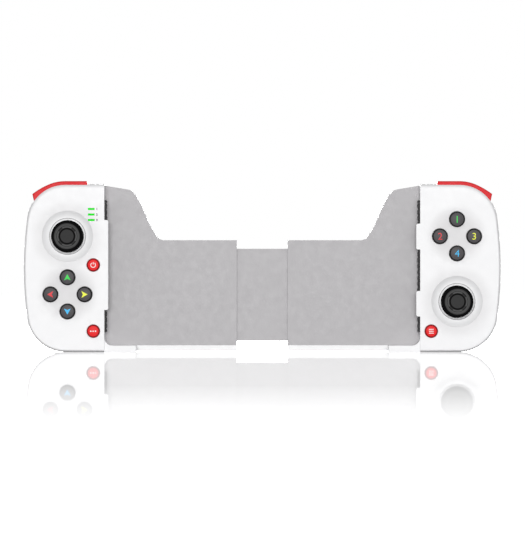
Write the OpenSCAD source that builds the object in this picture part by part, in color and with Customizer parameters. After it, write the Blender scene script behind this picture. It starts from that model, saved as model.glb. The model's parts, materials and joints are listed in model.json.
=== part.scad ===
// Stretch game controller for a phone: two handles on a telescopic bridge that runs behind the phone.
// X runs from left to right, Y from front to back and Z up. The handles stand on their lower edges.
// Inside a handle, u counts outwards from the jaw face, d counts back from the front face.

/* [Handle] */
// Width of a handle, from its jaw face to its outer side
grip_w = 40.4; // [39:0.2:46]
// Height of a handle
grip_h = 84; // [82:1:92]
// Radius of the two outer corners
corner_r = 19; // [17:0.5:21]
// Radius of the bowed outer side
side_r = 185; // [140:5:400]
// Depth of a handle without its palm swell
body_depth = 20; // [19.5:0.5:24]
// Height of the palm swell on the back
palm_depth = 13; // [8:0.5:16]
// Depth of the seam between the front and the rear shell
split_depth = 11; // [11:0.25:12]
// Wall thickness of the shells
wall = 2; // [1.6:0.1:2.4]
// How far the front face rolls over at the outer side and the bottom edge
roll_side = 1.25; // [1:0.25:4]
// How far the front face rolls over at the top edge
roll_top = 2; // [1:0.25:3]
// Depth of that rolled edge
roll_depth = 3.5; // [2:0.25:3.5]
// Rounding where the sides meet the back
back_fillet = 4; // [3:0.25:4.5]
// Chamfer on each side of the seam
seam = 0.3; // [0.1:0.05:0.5]

/* [Palm swell] */
// Distance of the crest from the jaw face
crest_u = 22; // [18:0.5:25]
// Distance of the crest below the handle's middle
crest_drop = 8; // [0:1:14]
// Half width of the flat crest
crest_w = 6; // [4:0.5:8]
// Half height of the flat crest
crest_h = 15; // [10:1:18]

/* [Phone clamp] */
// Distance between the jaw faces
slot_w = 158; // [146:1:180]
// How far the halves can close from there
push_in = 25; // [15:1:28]
// How far the halves can open from there
pull_out = 24; // [10:1:30]
// How far the front lips reach over the phone
lip_reach = 1.95; // [1.5:0.05:3]
// Thickness of the front lips
lip_t = 2.2; // [1.8:0.1:2.6]
// Ends of the lip on the left handle, from the handle's middle
left_lip = [-21, 24]; // [-26:0.25:28]
// Ends of the upper lip on the right handle, from the handle's middle
upper_lip = [9.25, 22.2]; // [3:0.05:28]
// Ends of the lower lip on the right handle, from the handle's middle
lower_lip = [-24.25, -11.5]; // [-26:0.05:-2]
// Reach of the ledge under the phone
ledge_reach = 15.75; // [10:0.25:20]
// Height of that ledge
ledge_h = 3.2; // [2.6:0.1:4]
// Fillet between the ledge and the jaw
ledge_fillet = 4; // [2:0.25:5]
// Thickness of the jaw pads
pad_t = 1.1; // [0.8:0.1:1.5]
// Height of the pads above the base
pad_foot = 10; // [9:0.5:14]
// Distance of the pads' upper ends below the handle's top
pad_head = 8; // [7:0.5:24]

/* [Bridge] */
// Depth of the phone plates' front faces
plate_depth = 12; // [11.9:0.1:12.4]
// Thickness of the phone plates
plate_t = 1.8; // [1.4:0.1:2]
// Thickness of the back wall of a bridge cover
cover_t = 2; // [1.6:0.1:2.4]
// Height of the sleeves
bridge_top = 56; // [54:1:62]
// Height of the sleeves' lower edges above the base
bridge_foot = 0.3; // [0.2:0.1:1]
// Height of the wing beside the handle, below the handle's top
wing_drop = 0.6; // [0.3:0.1:3]
// Width of the wing at its top
wing_w = 11.5; // [8:0.5:16]
// Width over which the wing falls to the sleeve
wing_fall = 17.5; // [12:0.5:24]
// Lower edge of the slide plate
slide_foot = 5.3; // [5.2:0.1:6]
// Height of the slide plate
slide_h = 46.4; // [44:0.2:46.6]
// Length of the slide plate that stays in each sleeve when fully open
slide_hold = 20.2; // [15:0.1:22]
// Running gap round the slide plate
slide_gap = 0.3; // [0.2:0.05:0.4]
// Wire diameter of the return springs
spring_wire = 0.5; // [0.4:0.05:0.55]
// Mean radius of the return springs
spring_r = 1.1; // [0.9:0.05:1.15]
// Turns of a return spring
spring_turns = 16; // [12:1:18]
// Width of the flex cable
cable_w = 8; // [6:0.5:10]

/* [Sticks] */
// Distance of the sticks and button clusters from the jaw face
column_u = 18.4; // [17.8:0.1:19]
// Height of the upper controls above the handle's middle
upper_rise = 15.85; // [15:0.05:16.5]
// Distance of the right stick below the handle's middle
stick_drop = 16.8; // [16:0.1:18]
// Diameter of a stick cap
cap_d = 15.8; // [14:0.1:16.4]
// How far the caps stand out of the face
stick_proud = 7; // [6.5:0.1:8]
// Depth of the sticks' tilt axes
pivot_depth = 7; // [6.9:0.05:7.1]
// Radius of the dome under the cap
dome_r = 9.7; // [9.5:0.05:9.8]
// Radius of the dish round a stick
dish_r = 12.8; // [12.4:0.1:13.4]
// Depth of that dish
dish_sink = 1.5; // [1:0.1:1.6]
// Outer radius of the raised collar in the dish
collar_r = 9.25; // [9.1:0.05:9.6]
// Height of the collar above the dish floor
collar_rise = 0.5; // [0.3:0.05:0.7]
// Radius of a stick's shaft
shaft_r = 1.2; // [1:0.05:1.4]
// How far a stick clicks in
stick_click = 0.5; // [0.3:0.05:0.6]
// Radius of the gimbal pins
gimbal_pin_r = 0.6; // [0.5:0.05:0.7]
// Half width of the gimbal housing
housing_half = 5.4; // [5.3:0.05:5.5]

/* [Buttons] */
// Distance of the direction buttons' centre below the handle's middle
pad_drop = 13.2; // [12.8:0.1:14.5]
// Diameter of the large buttons
button_d = 7.6; // [7.4:0.1:8.2]
// Distance of the large buttons from their cluster's centre
button_pitch = 8.5; // [8.2:0.1:8.8]
// How far the large buttons stand out
button_proud = 1.5; // [1.2:0.1:2]
// Radius of the shallow hollow round a cluster
hollow_r = 15; // [14.6:0.1:15.4]
// Depth of that hollow
hollow_sink = 0.6; // [0.3:0.05:0.8]
// Diameter of the small keys
key_d = 6.4; // [6:0.1:6.8]
// Distance of the small keys from the jaw face
key_u = 5.5; // [5.3:0.1:6]
// Height of the power key above the handle's middle
power_rise = 1.5; // [1:0.1:2]
// Distance of the select and start keys below the handle's middle
key_drop = 31.6; // [31:0.1:32]
// How far the small keys stand out
key_proud = 0.9; // [0.6:0.1:1.2]
// Gap round every button
button_gap = 0.15; // [0.1:0.01:0.25]
// Travel of the buttons
button_travel = 1; // [0.6:0.1:1.2]
// Length of a light bar
light_l = 3.3; // [2.8:0.1:3.6]
// Height of a light bar
light_h = 0.95; // [0.8:0.05:1.2]
// Distance of the light bars from the jaw face
light_u = 6.5; // [6:0.1:7]
// Distance of the top light bar below the handle's top
light_drop = 12.5; // [12:0.1:13]
// Distance from one light bar to the next
light_pitch = 2.75; // [2.4:0.05:2.9]

/* [Shoulder controls] */
// Distance of the bumpers' inner ends from the jaw face
bumper_u = 8; // [7.5:0.1:9]
// Distance of the bumpers' outer ends from the handle's outer side
bumper_in = 5; // [4.4:0.1:7.4]
// How far the bumpers stand proud
bumper_proud = 1.5; // [1.2:0.1:2]
// How far their outer ends stand proud
bumper_end_proud = 2.5; // [2:0.1:3]
// Distance of the triggers' inner ends from the jaw face
trigger_u = 9; // [8.8:0.1:10]
// Distance of the triggers' outer ends from the handle's outer side
trigger_in = 10.4; // [9.9:0.1:13.4]
// Length of the triggers from front to back
trigger_l = 14.7; // [12:0.1:16]
// How far the triggers stand proud
trigger_proud = 1.2; // [0.8:0.1:1.4]
// How far the triggers' top falls to the finger lip
trigger_fall = 4; // [2.5:0.1:4.5]
// Radius of the trigger pins
trigger_pin_r = 1.2; // [1:0.05:1.3]
// Radius of the bumper pins
bumper_pin_r = 1; // [0.8:0.05:1.1]

/* [Inside] */
// Depth of the circuit boards' front faces
board_depth = 9.6; // [9.5:0.05:9.7]
// Thickness of the circuit boards
board_t = 1.2; // [0.8:0.1:1.3]
// Thickness of the button membranes
membrane_t = 0.8; // [0.6:0.05:1]
// Width, depth and height of the battery
battery = [17, 6, 32]; // [5:0.5:34]
// Width, depth and length of the charge port
port = [8.94, 3.26, 7.3]; // [3:0.01:9]
// Radius of the screw posts
post_r = 2.6; // [2.3:0.1:2.8]
// Radius of the case screws' shanks
screw_r = 0.95; // [0.8:0.05:1]

/* [Hidden] */
$fn = 64;
LEFT = -1;
RIGHT = 1;
WHITE = "white";
GREY = [0.72, 0.71, 0.72];
RED = [0.86, 0.13, 0.15];
DARK = [0.2, 0.2, 0.21];
STEEL = [0.7, 0.71, 0.73];
GREEN = [0.1, 0.45, 0.22];

// Clearances
slip = 0.05;
snug = 0.02;
clear = 0.3;
play = 0.4;
tip_gap = 0.2;
cut = 1;
over = 6;

// Points on the outline
edge_n = 4;
corner_n = 12;
side_n = 6;
jaw_n = 8;
roll_n = 5;
fillet_n = 3;
swell_n = 7;

// Frame
mid_z = grip_h / 2;
jaw_x = slot_w / 2;
swell_depth = body_depth + palm_depth;
face_y = -(swell_depth - stick_proud) / 2;
side_c = [grip_w - side_r, mid_z];
bow = asin((mid_z - corner_r) / (side_r - corner_r));
corner_u = side_c[0] + (side_r - corner_r) * cos(bow);
lower_c = [corner_u, corner_r];
upper_c = [corner_u, grip_h - corner_r];
fillet_share = 0.16;
ledge_front = roll_depth / 4;
crest_z = mid_z - crest_drop;
pad_l = grip_h - pad_foot - pad_head;

// Heights of the controls
upper_z = mid_z + upper_rise;
low_stick_z = mid_z - stick_drop;
pad_z = mid_z - pad_drop;
power_z = mid_z + power_rise;
key_z = mid_z - key_drop;
light_z = grip_h - light_drop;

// Screw posts
jaw_post_u = 4.8;
side_post_in = 7.2;
base_post = [9.4, 10.5];
side_post_rise = 1;
low_post_drop = 22.8;
low_post_z = mid_z - low_post_drop;
top_post_drop = 7.8;
posts = [
    [jaw_post_u, grip_h - top_post_drop],
    [jaw_post_u, low_post_z],
    [grip_w - side_post_in, mid_z + side_post_rise],
    [grip_w - base_post[0], base_post[1]]
];
boss_wall = 0.8;
boss_r = post_r + boss_wall;
screw_grip = 3;
screw_bite = 6;
head_r = 2;
head_t = 1.6;
head_slot = [2.4, 0.5, 0.8];
screw_play = 0.2;

// Bridge
plate_back = plate_depth + plate_t;
cavity_back = body_depth - cover_t;
slide_d = [plate_back + slide_gap, cavity_back - slide_gap];
slide_mid = (slide_d[0] + slide_d[1]) / 2;
stop_gap = 0.6;
sleeve_x = (push_in + stop_gap) / 2;
slide_half = sleeve_x + pull_out / 2 + slide_hold;
sleeve_u = sleeve_x - jaw_x;
sleeve_stop = 9;
wing_n = 10;
wing_slope = 1.9;
tongue_l = 7;
tongue_z = [26, 62];
tongue_back = body_depth - back_fillet - clear;
tongue_gap = 0.2;
groove_skin = 0.8;
groove_z = [8.5, 13.5];
groove_x = 17.5;
hook_r = 0.8;
spring_d = slide_d[1] - spring_r - spring_wire / 2;
spring_z = (groove_z[0] + groove_z[1]) / 2;
slide_hook_in = 2;
sleeve_hook_in = 7;
slide_hook_x = groove_x + slide_hook_in;
sleeve_hook_x = jaw_x - sleeve_stop - sleeve_hook_in;
hook_gap = hook_r + tip_gap + spring_wire / 2;
coil_ends = [slide_hook_x + hook_gap, sleeve_hook_x - hook_gap];
curl_n = 8;
wire_n = 6;
cable_t = 0.3;
cable_z = 34;
cable_end = jaw_x - sleeve_stop - clear;
fold_lead = 2;
fold_x = slide_half + fold_lead;
fold_l = 12;
fold_n = 3;
fold_high = 1.1;
fold_steps = 24;

// Sticks
collar_top = dish_sink - collar_rise;
collar_edge = 0.3;
crease = 0.5;
dish_wall = 1.3;
dish_n = 5;
socket_r = dome_r + play;
dome_t = 1;
dome_edge = 62;
dome_n = 8;
neck_r = 4.2;
rim_w = 1.3;
rim_edge = 0.7;
pad_disc_r = 3.3;
pad_groove = [0.2, 0.5, 0.25];
cap_thick = 3.2;
cap_hollow = 0.9;
cap_skirt = [0.7, 1, 0.3];
neck_flare = 0.6;
rim_lip = 0.25;
socket_wall = 1.4;
socket_boss_r = shaft_r + socket_wall;
socket_end = 0.8;
cap_roof = 2.6;
shaft_end = cap_roof - stick_proud;
housing_rise = 2.6;
housing_top = pivot_depth - housing_rise;
sheet = 0.5;
housing_hole = 4.2;
carrier_half = housing_half - sheet - tip_gap;
carrier_wall = 0.8;
carrier_in = carrier_half - carrier_wall;
carrier_deep = 1.5;
yoke_half = carrier_in - clear;
yoke_deep = 1.1;
yoke_wall = 1.1;
yoke_in = yoke_half - yoke_wall;
hub_r = board_depth - pivot_depth - stick_click - tip_gap;
ridge_r = [4.3, 5];
ridge_sink = 0.5;
ridge_break = 2.4;

// Buttons
hollow_n = 6;
flange_t = 1.2;
flange = [wall + tip_gap, wall + tip_gap + flange_t];
flange_w = 0.85;
stem_depth = board_depth - membrane_t - button_travel - clear;
stem_share = 0.62;
button_edge = 0.7;
button_crown = 0.3;
crown_n = 5;
hole_chamfer = 0.1;
hole_flare = 0.25;
key_chamfer = 0.2;
membrane_rim = 14.2;
membrane_key = 4.6;
membrane_web = 2;
membrane_dome = [1.8, 2.8];

// Shoulder controls
bumper_d = [wall - tip_gap, split_depth - play];
bumper_deep = 2.8;
bumper_bevel = 0.6;
bumper_swell = 26;
bumper_room = 2.1;
bumper_window = bumper_deep + bumper_room;
bumper_slant = 0.5;
bumper_end = acos((grip_w - bumper_in - corner_u) / corner_r);
bumper_lean = 6;
window_turn = 4;
pin_drop = 6;
bumper_pin_in = 4;
bumper_pin = [bumper_u + bumper_pin_in, grip_h - pin_drop];
bumper_lug = 2;
lug_gap = 0.6;
lug_in = 0.8;
lug_d = [roll_depth + lug_gap + lug_in, bumper_d[1] - lug_in];
pin_boss_r = 2.4;
pin_seat = 2.2;
arc_n = 12;
well_front = 1.2;
well_side = 1.6;
well_deep = 11.5;
well_end = 33;
well_turn = 8;
trigger_gap = 0.5;
trigger_d = split_depth + well_front + trigger_gap;
trigger_end = grip_w - trigger_in;
trigger_w = trigger_end - trigger_u;
trigger_skirt = 10;
trigger_lip = 1.2;
trigger_curl = 1.6;
trigger_edge = 0.6;
trigger_heel = 1.2;
trigger_n = 8;
trigger_steps = 7;
trigger_pin_in = 3.4;
trigger_pin = [trigger_d + trigger_pin_in, grip_h - pin_drop];
ear_in = 6;
ear_u = trigger_end - ear_in;
ear_t = 2;
ear_r = 2.4;
ear_room = [1.8, 1];

// Inside
board_gap = 1;
board_inset = wall + board_gap;
board_drop = 9.5;
board_top = grip_h - board_drop;
battery_gap = 0.8;
battery_u = grip_w - side_post_in - boss_r - battery_gap - battery[0];
battery_z = low_post_z + boss_r + play;
port_in = 19.4;
port_u = grip_w - port_in;
port_r = 1.3;
port_wall = 0.3;
port_tongue = 0.7;

// Places of the controls on each side
function stick_z(side) = side == LEFT ? upper_z : low_stick_z;
function cluster_z(side) = side == LEFT ? pad_z : upper_z;
function keys(side) = side == LEFT ? [[key_u, power_z], [key_u, key_z]] : [[key_u, key_z]];
function lips(side) = side == LEFT ? [left_lip] : [upper_lip, lower_lip];
function cluster(side) = [
    for (a = [0:90:270]) [column_u, cluster_z(side)] + button_pitch * [cos(a), sin(a)]
];

// Points on an arc, both ends included
function arc(c, r, a0, a1, n) = [
    for (i = [0:n]) let (a = a0 + (a1 - a0) * i / n) c + r * [cos(a), sin(a)]
];

// Points between two corners, both left out
function between(p, q, n) = [for (i = [1:n - 1]) p + (q - p) * i / n];

// Outline of a handle in u and z, drawn in by an inset
function outline(inset) =
    let (
        base_in = [inset, inset],
        top_in = [inset, grip_h - inset],
        r = corner_r - inset,
        side = arc(side_c, side_r - inset, -bow, bow, side_n)
    )
    concat(
        [base_in],
        between(base_in, [corner_u, inset], edge_n),
        arc(lower_c, r, -90, -bow, corner_n),
        [for (i = [1:side_n - 1]) side[i]],
        arc(upper_c, r, bow, 90, corner_n),
        between([corner_u, grip_h - inset], top_in, edge_n),
        [top_in],
        between(top_in, base_in, jaw_n)
    );

// The outline at depth d, with a share of the front edge's roll
function face_ring(inset, share, d) =
    let (
        across = (grip_w - roll_side * share) / grip_w,
        upright = (grip_h - (roll_top + roll_side) * share) / grip_h
    )
    [for (p = outline(inset)) [p[0] * across, d, roll_side * share + p[1] * upright]];

// The outline at depth d, drawn towards the crest of the palm swell by a share
function swell_ring(inset, share, d) = [
    for (p = outline(inset))
        let (
            a = atan2(p[1] - crest_z, p[0] - crest_u),
            c = [crest_u + (crest_w - inset / 2) * cos(a), crest_z + (crest_h - inset / 2) * sin(a)],
            q = p + share * (c - p)
        )
        [q[0], d, q[1]]
];

function roll_rings(inset) = [
    for (i = [0:roll_n]) let (a = 90 * i / roll_n)
        face_ring(inset, 1 - sin(a), inset + roll_depth * (1 - cos(a)))
];

function back_rings(inset) = concat(
    [for (i = [0:fillet_n]) let (a = 90 * i / fillet_n)
        swell_ring(inset, fillet_share * (1 - cos(a)), body_depth - inset - back_fillet * (1 - sin(a)))],
    [for (i = [1:swell_n]) let (t = i / swell_n)
        swell_ring(inset, fillet_share + (1 - fillet_share) * t,
            body_depth - inset + palm_depth * (1 - cos(180 * t)) / 2)]
);

// A strip along the top edge and round the outer corner, from n0 inside the outline to n1 outside it
function strip_side(n, u0, end) =
    concat(arc(upper_c, corner_r + n, end, 90, arc_n), [[u0, grip_h + n]]);
function reversed(list) = [for (i = [len(list) - 1:-1:0]) list[i]];
function strip(n0, n1, u0, end) = concat(strip_side(n1, u0, end), reversed(strip_side(n0, u0, end)));

function middle(ring) = [for (p = ring) 1] * ring / len(ring);

// Triangles between each ring of n points and the next of m rings
function walls(n, m) = [
    for (k = [0:m - 2], i = [0:n - 1], upper = [false, true])
        let (a = k * n + i, b = k * n + (i + 1) % n)
        upper ? [a, b + n, a + n] : [a, b, b + n]
];

// Closed solid through a stack of convex rings, each end closed round its middle
module loft(rings) {
    n = len(rings[0]);
    m = len(rings);
    last = (m - 1) * n;
    polyhedron(
        concat([for (ring = rings) each ring], [middle(rings[0]), middle(rings[m - 1])]),
        concat(
            [for (i = [0:n - 1]) [m * n, (i + 1) % n, i]],
            walls(n, m),
            [for (i = [0:n - 1]) [m * n + 1, last + i, last + (i + 1) % n]]
        )
    );
}

// Closed solid through a stack of curved strips, each an outer side followed by its reversed inner side
module strip_loft(rings) {
    n = len(rings[0]);
    m = len(rings);
    h = n / 2;
    last = (m - 1) * n;
    polyhedron(
        [for (ring = rings) each ring],
        concat(
            walls(n, m),
            [for (i = [0:h - 2]) [n - 1 - i, n - 2 - i, i + 1]],
            [for (i = [0:h - 2]) [n - 1 - i, i + 1, i]],
            [for (i = [0:h - 2]) [last + i, last + i + 1, last + n - 2 - i]],
            [for (i = [0:h - 2]) [last + i, last + n - 2 - i, last + n - 1 - i]]
        )
    );
}

// A handle's own frame, mirrored on the left
module at_side(side) {
    translate([side * jaw_x, face_y, 0])
        mirror([side == LEFT ? 1 : 0, 0, 0])
            children();
}

// A shape drawn in u and z, given depth
module slab(d0, d1) {
    translate([0, d1, 0])
        rotate([90, 0, 0])
            linear_extrude(d1 - d0)
                children();
}

// A turned shape whose axis points back from the face
module along_depth(place, d = 0) {
    translate([place[0], d, place[1]])
        rotate([-90, 0, 0])
            children();
}

module strip_slab(n0, n1, u0, end, d0, d1) {
    slab(d0, d1)
        polygon(strip(n0, n1, u0, end));
}

// Slot of the charge port through the lower edge
module port_cut() {
    translate([port_u, board_depth + board_t + port[1] / 2, -cut])
        linear_extrude(wall + 2 * cut)
            stadium(port[0] + 2 * clear, port[1] + 2 * clear);
}

module stadium(w, h) {
    square([w - h, h], center = true);
    for (s = [-1, 1])
        translate([s * (w - h) / 2, 0])
            circle(d = h);
}

// Front shells
module front_cavity(side) {
    difference() {
        loft(concat(roll_rings(wall), [face_ring(wall, 0, split_depth + cut)]));
        for (p = posts)
            along_depth(p)
                cylinder(r = post_r, h = split_depth + 2 * cut);
        along_depth([column_u, stick_z(side)])
            cylinder(r = dish_r + dish_wall, h = dish_sink + wall);
        along_depth(bumper_pin)
            cylinder(r = pin_boss_r, h = lug_d[0] - lug_gap);
    }
}

module stick_dish(side) {
    place = [column_u, stick_z(side)];
    dish_w = dish_r - collar_r;
    along_depth(place)
        rotate_extrude()
            polygon(concat(
                [[0, -slip], [dish_r, -slip]],
                [for (i = [dish_n:-1:0]) let (t = i / dish_n) [collar_r + dish_w * t, dish_sink * (1 - t * t)]],
                [[collar_r, dish_sink + crease], [collar_r - collar_edge, dish_sink + crease]],
                [[collar_r - collar_edge, dish_sink], [collar_r - 2 * collar_edge, collar_top], [0, collar_top]]
            ));
    along_depth(place, pivot_depth)
        sphere(r = socket_r, $fn = 96);
}

module cluster_hollow(side) {
    along_depth([column_u, cluster_z(side)])
        rotate_extrude()
            polygon(concat(
                [[0, -slip], [hollow_r, -slip]],
                [for (i = [hollow_n:-1:0]) let (t = i / hollow_n) [hollow_r * t, hollow_sink * (1 - t * t)]]
            ));
    for (p = cluster(side))
        along_depth(p) {
            cylinder(d = button_d + 2 * button_gap, h = wall + cut);
            cylinder(d1 = button_d + 2 * button_gap + 2 * hole_flare,
                d2 = button_d + 2 * button_gap, h = hollow_sink + hole_chamfer);
        }
}

module key_holes(side) {
    for (p = keys(side)) {
        along_depth(p, -slip) {
            cylinder(d = key_d + 2 * button_gap, h = wall + cut);
            cylinder(d1 = key_d + 2 * button_gap + 2 * key_chamfer, d2 = key_d + 2 * button_gap,
                h = key_chamfer + slip);
        }
        along_depth(p, flange[0] - tip_gap + slip)
            cylinder(r = key_d / 2 + flange_w + clear, h = flange_t + button_travel + clear);
    }
}

module light_places() {
    for (i = [0:2])
        translate([light_u, 0, light_z - i * light_pitch])
            children();
}

module lip_shape(ends) {
    r = lip_reach / 2;
    polygon(concat(
        arc([-lip_reach + r, ends[0] + r], r, 180, 270, 5),
        [[slip, ends[0]], [slip, ends[1]]],
        arc([-lip_reach + r, ends[1] - r], r, 90, 180, 5)
    ));
}

module ledge_shape() {
    polygon(concat(
        [[slip, 0], [slip, ledge_h + ledge_fillet]],
        arc([-ledge_fillet, ledge_h + ledge_fillet], ledge_fillet, 0, -90, 8),
        [[-ledge_reach, ledge_h], [-ledge_reach, 0]]
    ));
}

module front_shell(side) {
    color(WHITE)
        at_side(side) {
            difference() {
                loft(concat(roll_rings(0), [
                    face_ring(0, 0, split_depth - seam),
                    face_ring(seam, 0, split_depth)
                ]));
                front_cavity(side);
                stick_dish(side);
                cluster_hollow(side);
                key_holes(side);
                strip_slab(-bumper_window, over, bumper_u - play, bumper_end - window_turn,
                    bumper_d[0] - play, split_depth + cut);
                for (p = posts)
                    along_depth(p, split_depth - screw_bite - clear)
                        cylinder(r = screw_r + slip, h = screw_bite + cut);
                along_depth(bumper_pin, pin_seat)
                    cylinder(r = bumper_pin_r + snug, h = split_depth);
                if (side == LEFT) {
                    light_places()
                        cube([light_l + 2 * slip, 2 * (wall + 2 * cut), light_h + 2 * slip], center = true);
                    port_cut();
                }
            }
            for (ends = lips(side))
                translate([0, 0, mid_z])
                    slab(0, lip_t)
                        lip_shape(ends);
            slab(ledge_front, split_depth)
                ledge_shape();
        }
}

// Rear shells
module rear_cavity() {
    difference() {
        loft(concat([swell_ring(wall, 0, split_depth - cut)], back_rings(wall)));
        strip_slab(-well_deep - wall, over, trigger_u - play - well_side, well_end - well_turn,
            split_depth - 2 * cut, swell_depth);
        for (p = posts)
            along_depth(p, split_depth - 2 * cut)
                cylinder(r = boss_r, h = swell_depth);
    }
}

module trigger_well() {
    difference() {
        strip_slab(-well_deep, over, trigger_u - play, well_end, split_depth + well_front, swell_depth);
        translate([ear_u - ear_t / 2, trigger_pin[0] - ear_r, grip_h - well_deep - wall])
            cube([ear_t, 2 * ear_r, trigger_pin[1] - grip_h + well_deep + wall]);
        translate([ear_u - ear_t / 2, trigger_pin[0], trigger_pin[1]])
            rotate([0, 90, 0])
                cylinder(r = ear_r, h = ear_t);
    }
}

module trigger_axis(r, u0, u1) {
    translate([u0, trigger_pin[0], trigger_pin[1]])
        rotate([0, 90, 0])
            cylinder(r = r, h = u1 - u0);
}

module rear_shell(side) {
    color(WHITE)
        at_side(side)
            difference() {
                loft(concat([
                    swell_ring(seam, 0, split_depth),
                    swell_ring(0, 0, split_depth + seam)
                ], back_rings(0)));
                rear_cavity();
                trigger_well();
                trigger_axis(trigger_pin_r + snug, trigger_u - play - well_side, ear_u + ear_t);
                along_depth(bumper_pin, split_depth - cut)
                    cylinder(r = bumper_pin_r + snug, h = well_front + 2 * cut);
                for (p = posts) {
                    along_depth(p, split_depth - cut)
                        cylinder(r = screw_r + screw_play, h = screw_grip + 2 * cut);
                    along_depth(p, split_depth + screw_grip)
                        cylinder(r = head_r + clear, h = swell_depth);
                }
                translate([-cut, plate_back - tongue_gap, tongue_z[0] - tongue_gap])
                    cube([
                        wall + 2 * cut,
                        tongue_back - plate_back + 2 * tongue_gap,
                        tongue_z[1] - tongue_z[0] + 2 * tongue_gap
                    ]);
                if (side == LEFT)
                    port_cut();
            }
}

// Bridge: grey phone plates in front of white covers, which hold the slide plate between them
function wing_side(w, top, foot) = [
    for (i = [0:wing_n]) let (t = i / wing_n)
        [-w - wing_fall * t, top + (foot - top) * (1 - cos(180 * t)) / 2]
];

function bridge_outline(foot) =
    let (shoulder = grip_h - wing_drop - wing_slope)
    concat(
        [[sleeve_u, foot], [-slip, foot], [-slip, grip_h - wing_drop]],
        wing_side(wing_w, shoulder, bridge_top),
        [[sleeve_u, bridge_top]]
    );

function wing_pocket() =
    let (top = grip_h - wing_drop - wing_slope - 2 * wall)
    concat(
        [[-slip - wall, bridge_top - wall], [-slip - wall, grip_h - wing_drop - 2 * wall]],
        wing_side(wing_w - wall, top, bridge_top - wall)
    );

module phone_plate(side) {
    color(GREY)
        at_side(side)
            slab(plate_depth, plate_back)
                polygon(bridge_outline(ledge_h + slip));
}

module bridge_cover(side) {
    color(WHITE)
        at_side(side) {
            difference() {
                union() {
                    slab(plate_back, body_depth)
                        polygon(bridge_outline(bridge_foot));
                    translate([sleeve_u, plate_depth, bridge_foot])
                        cube([-slip - sleeve_u, plate_t + cut, ledge_h - bridge_foot]);
                    translate([-wall, plate_back, tongue_z[0]])
                        cube([wall + tongue_l, tongue_back - plate_back, tongue_z[1] - tongue_z[0]]);
                }
                translate([sleeve_u - cut, plate_back - cut, slide_foot - slide_gap])
                    cube([
                        cut - sleeve_u - sleeve_stop,
                        cavity_back - plate_back + cut,
                        slide_h + 2 * slide_gap
                    ]);
                slab(plate_back - cut, cavity_back)
                    polygon(wing_pocket());
            }
            along_depth([sleeve_hook_x - jaw_x, spring_z], plate_back)
                cylinder(r = hook_r, h = cavity_back - plate_back + cut);
        }
}

module slide_plate() {
    color(GREY)
        translate([0, face_y, 0])
            difference() {
                translate([-slide_half, slide_d[0], slide_foot])
                    cube([2 * slide_half, slide_d[1] - slide_d[0], slide_h]);
                for (side = [LEFT, RIGHT])
                    mirror([side == LEFT ? 1 : 0, 0, 0])
                        difference() {
                            translate([groove_x, slide_d[0] + groove_skin, groove_z[0]])
                                cube([slide_half, slide_d[1], groove_z[1] - groove_z[0]]);
                            along_depth([slide_hook_x, spring_z], slide_d[0])
                                cylinder(r = hook_r, h = slide_d[1] - slide_d[0]);
                        }
                translate([-slide_half - cut, slide_mid - 2 * cable_t, cable_z - cable_w / 2 - clear])
                    cube([2 * (slide_half + cut), 4 * cable_t, cable_w + 2 * clear]);
            }
}

// Return springs: a drawn coil between the hooks of the slide plate and of a sleeve
function coil_point(t, x0, x1) =
    [x0 + (x1 - x0) * t / spring_turns, spring_r * cos(360 * t), spring_r * sin(360 * t)];

function unit(v) = v / norm(v);

function coil_ring(t, x0, x1) =
    let (
        p = coil_point(t, x0, x1),
        ahead = unit(coil_point(t + 0.01, x0, x1) - coil_point(t - 0.01, x0, x1)),
        up = unit(cross(ahead, [0, cos(360 * t), sin(360 * t)])),
        out = cross(up, ahead)
    )
    [for (i = [0:wire_n - 1]) let (a = 360 * i / wire_n) p + spring_wire / 2 * (cos(a) * out + sin(a) * up)];

coil_gap = (coil_ends[1] - coil_ends[0]) / spring_turns - spring_wire;
echo(coil_gap = coil_gap);

module return_spring(side) {
    color(STEEL)
        translate([0, face_y + spring_d, spring_z])
            mirror([side == LEFT ? 1 : 0, 0, 0])
                loft([for (i = [0:spring_turns * curl_n]) coil_ring(i / curl_n, coil_ends[0], coil_ends[1])]);
}

// Flex cable: a flat ribbon with folded slack beyond both ends of the slide plate
function cable_depth(x) =
    abs(x) < fold_x || abs(x) > fold_x + fold_l ? 0
    : fold_high * sin(360 * fold_n * (abs(x) - fold_x) / fold_l);

module flex_cable() {
    folds = [for (i = [0:fold_steps]) fold_x + fold_l * i / fold_steps];
    xs = concat([-cable_end], [for (x = reversed(folds)) -x], folds, [cable_end]);
    front = [for (x = xs) [x, cable_depth(x) - cable_t / 2]];
    back = [for (x = reversed(xs)) [x, cable_depth(x) + cable_t / 2]];
    color(DARK)
        translate([0, face_y + slide_mid, cable_z - cable_w / 2])
            linear_extrude(cable_w)
                polygon(concat(front, back));
}

module jaw_pad(side) {
    color(GREY)
        at_side(side)
            translate([-pad_t, lip_t + clear, pad_foot])
                cube([pad_t, plate_depth - lip_t - 2 * clear, pad_l]);
}

// Boards, membranes, battery, port, lights and screws
module circuit_board(side) {
    color(GREEN)
        at_side(side)
            slab(board_depth, board_depth + board_t)
                difference() {
                    intersection() {
                        polygon(outline(board_inset));
                        square([grip_w, board_top]);
                    }
                    for (p = posts)
                        translate(p)
                            circle(r = post_r + clear);
                    polygon(strip(-bumper_window - clear, over, bumper_u - play, bumper_end - window_turn));
                }
}

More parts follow.
